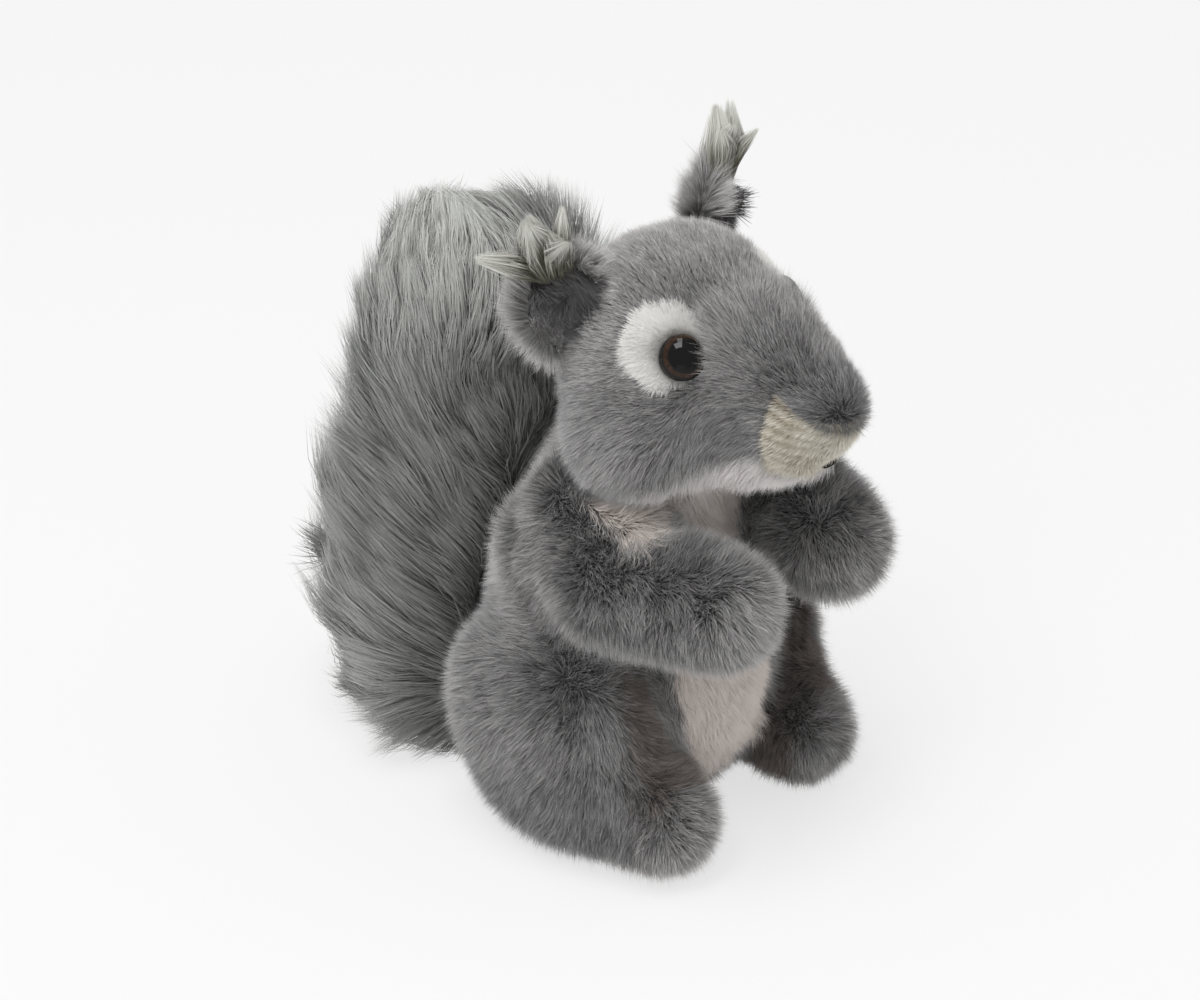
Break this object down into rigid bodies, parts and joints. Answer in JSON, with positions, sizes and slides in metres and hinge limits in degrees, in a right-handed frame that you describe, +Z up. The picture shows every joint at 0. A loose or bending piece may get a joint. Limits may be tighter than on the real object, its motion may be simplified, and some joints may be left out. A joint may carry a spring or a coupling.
{
  "type": "plush squirrel",
  "caption": "Grey stuffed squirrel sitting upright with paws held out, tufted ears and a bushy tail up its back.",
  "frame": {"origin": "middle of the seat, on the surface that the squirrel sits on", "axes": "+Z up, the squirrel faces -Y and its right side is -X"},
  "size_m": [0.1066, 0.176, 0.1867],
  "materials": {
    "grey_plush": "short dense pile, grey with paler tips",
    "tail_pile": "long shaggy pile, greenish grey",
    "white_plush": "very short white pile",
    "cream_plush": "short ridged cream pile",
    "pink_white_plush": "short off-white pile",
    "dark_plush": "dark shaggy pile",
    "pale_tuft": "long pale tuft fibre",
    "eye_plastic": "polished, black with a dark brown rim",
    "washer_plastic": "moulded, hidden inside the head",
    "thread": "dark sewing thread"
  },
  "bodies": {
    "root": {"torso": "grey_plush", "belly_panel": "pink_white_plush", "head": "grey_plush", "muzzle": "cream_plush", "chin_panel": "pink_white_plush", "mouth_stitch": "thread", "right_eye_patch": "white_plush", "left_eye_patch": "white_plush", "right_eye": "eye_plastic", "left_eye": "eye_plastic", "right_eye_washer": "washer_plastic", "left_eye_washer": "washer_plastic", "right_ear": "grey_plush", "left_ear": "grey_plush", "right_ear_lining": "dark_plush", "left_ear_lining": "dark_plush", "right_ear_tuft": "pale_tuft", "left_ear_tuft": "pale_tuft", "right_arm": "grey_plush", "left_arm": "grey_plush", "right_leg": "grey_plush", "left_leg": "grey_plush", "tail": "tail_pile"}
  },
  "joints": []
}
